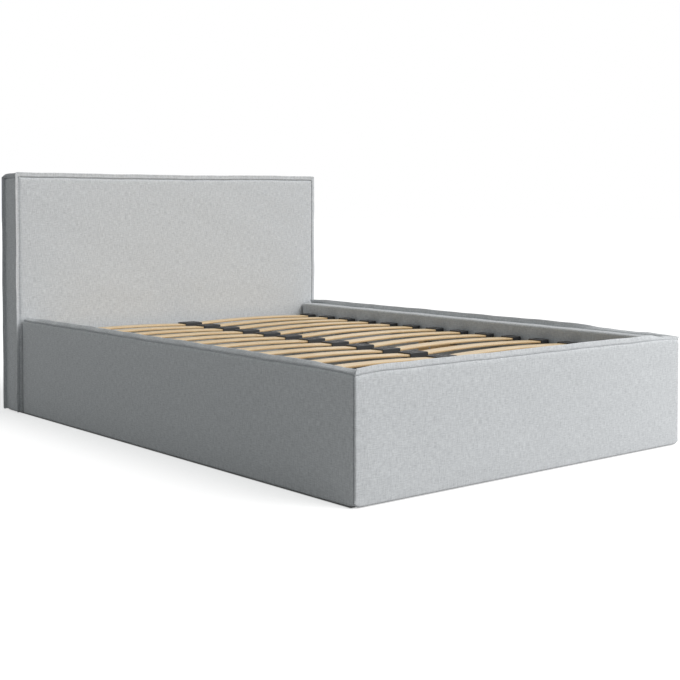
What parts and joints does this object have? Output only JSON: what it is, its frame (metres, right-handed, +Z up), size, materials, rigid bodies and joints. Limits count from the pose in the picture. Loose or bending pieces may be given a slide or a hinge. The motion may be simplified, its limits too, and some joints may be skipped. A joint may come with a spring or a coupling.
{
  "type": "storage bed frame",
  "caption": "Upholstered storage bed frame with a tall headboard, low box rails with flanged seams, and a gas-strut slatted platform that lifts at the foot.",
  "frame": {"origin": "on the floor, under the middle of the whole bed's box", "axes": "+Z up, +Y from the foot end to the headboard, +X to the right seen from the foot end"},
  "size_m": [1.588, 2.298, 1.009],
  "materials": {
    "cover_fabric": "light grey woven upholstery fabric",
    "upholstery_foam": "polyurethane foam",
    "chipboard": "raw chipboard",
    "fibreboard": "white-faced fibreboard",
    "pine": "planed pine",
    "slat_birch": "bent birch plywood",
    "black_plastic": "moulded",
    "rubber": "matt",
    "webbing": "black woven webbing",
    "coated_steel": "silver-grey powder coat",
    "lift_steel": "black powder coat",
    "strut_black": "black paint, satin",
    "strut_chrome": "hard chrome rod",
    "zinc_steel": "zinc plated"
  },
  "bodies": {
    "bed_base": {"left_rail_board": "chipboard", "left_rail_foam": "upholstery_foam", "left_rail_cover": "cover_fabric", "right_rail_board": "chipboard", "right_rail_foam": "upholstery_foam", "right_rail_cover": "cover_fabric", "footboard_board": "chipboard", "footboard_foam": "upholstery_foam", "footboard_cover": "cover_fabric", "headboard_cover": "cover_fabric", "headboard_foam": "upholstery_foam", "headboard_front_board": "chipboard", "headboard_back_board": "fibreboard", "headboard_frame": "pine", "corner_brackets": "zinc_steel", "corner_bolts": "zinc_steel", "glides": "black_plastic", "floor_ledges": "pine", "floor_centre_batten": "pine", "centre_feet": "black_plastic", "floor_panels": "fibreboard", "side_ledges": "pine", "foot_ledge": "pine", "ledge_screws": "zinc_steel", "rubber_buffers": "rubber", "left_base_plate": "lift_steel", "right_base_plate": "lift_steel", "ground_pins": "zinc_steel", "strut_foot_studs": "zinc_steel", "plate_screws": "zinc_steel"},
    "left_rear_lever": {"left_rear_lever": "lift_steel", "left_strut_stud": "zinc_steel"},
    "left_front_lever": {"left_front_lever": "lift_steel", "left_front_lever_pin": "zinc_steel"},
    "left_strut_cylinder": {"left_strut_cylinder": "strut_black"},
    "left_strut_rod": {"left_strut_rod": "strut_chrome"},
    "right_rear_lever": {"right_rear_lever": "lift_steel", "right_strut_stud": "zinc_steel"},
    "right_front_lever": {"right_front_lever": "lift_steel", "right_front_lever_pin": "zinc_steel"},
    "right_strut_cylinder": {"right_strut_cylinder": "strut_black"},
    "right_strut_rod": {"right_strut_rod": "strut_chrome"},
    "platform": {"side_tubes": "coated_steel", "head_tube": "coated_steel", "foot_tube": "coated_steel", "centre_tube": "coated_steel", "cross_tubes": "coated_steel", "tube_plugs": "black_plastic", "left_slats": "slat_birch", "right_slats": "slat_birch", "left_slat_holders": "black_plastic", "right_slat_holders": "black_plastic", "centre_slat_holders": "black_plastic", "mattress_retainer": "coated_steel", "pull_strap": "webbing", "strap_rivets": "zinc_steel", "left_lift_bracket": "coated_steel", "right_lift_bracket": "coated_steel", "bracket_bolts": "zinc_steel", "bracket_pins": "zinc_steel"}
  },
  "joints": [
    {"name": "platform_lift", "type": "hinge", "parent": "left_rear_lever", "child": "platform", "pos_m": [-0.701, 0.739, 0.262], "axis": [-1, 0, 0], "range_deg": [0, 78.3]},
    {"name": "left_rear_lever_turn", "type": "hinge", "parent": "bed_base", "child": "left_rear_lever", "pos_m": [-0.701, 0.571, 0.235], "axis": [1, 0, 0], "range_deg": [0, 43.32]},
    {"name": "left_front_lever_turn", "type": "hinge", "parent": "bed_base", "child": "left_front_lever", "pos_m": [-0.6895, 0.233, 0.096], "axis": [1, 0, 0], "range_deg": [0, 23.17]},
    {"name": "left_strut_cylinder_swing", "type": "hinge", "parent": "bed_base", "child": "left_strut_cylinder", "pos_m": [-0.6745, 0.61189, 0.05971], "axis": [1, 0, 0], "range_deg": [0, 21.67]},
    {"name": "left_strut_rod_swing", "type": "hinge", "parent": "left_rear_lever", "child": "left_strut_rod", "pos_m": [-0.6745, 0.75035, 0.21972], "axis": [-1, 0, 0], "range_deg": [0, 21.67]},
    {"name": "right_rear_lever_turn", "type": "hinge", "parent": "bed_base", "child": "right_rear_lever", "pos_m": [0.701, 0.571, 0.235], "axis": [1, 0, 0], "range_deg": [0, 43.32]},
    {"name": "right_front_lever_turn", "type": "hinge", "parent": "bed_base", "child": "right_front_lever", "pos_m": [0.6895, 0.233, 0.096], "axis": [1, 0, 0], "range_deg": [0, 23.17]},
    {"name": "right_strut_cylinder_swing", "type": "hinge", "parent": "bed_base", "child": "right_strut_cylinder", "pos_m": [0.6745, 0.61189, 0.05971], "axis": [1, 0, 0], "range_deg": [0, 21.67]},
    {"name": "right_strut_rod_swing", "type": "hinge", "parent": "right_rear_lever", "child": "right_strut_rod", "pos_m": [0.6745, 0.75035, 0.21972], "axis": [-1, 0, 0], "range_deg": [0, 21.67]}
  ],
  "couplings": [
    {"joint": "left_rear_lever_turn", "follows": "platform_lift", "ratio": 0.553},
    {"joint": "left_front_lever_turn", "follows": "platform_lift", "ratio": 0.29566},
    {"joint": "left_strut_cylinder_swing", "follows": "platform_lift", "ratio": 0.2765},
    {"joint": "left_strut_rod_swing", "follows": "platform_lift", "ratio": 0.2765},
    {"joint": "right_rear_lever_turn", "follows": "platform_lift", "ratio": 0.553},
    {"joint": "right_front_lever_turn", "follows": "platform_lift", "ratio": 0.29566},
    {"joint": "right_strut_cylinder_swing", "follows": "platform_lift", "ratio": 0.2765},
    {"joint": "right_strut_rod_swing", "follows": "platform_lift", "ratio": 0.2765}
  ]
}
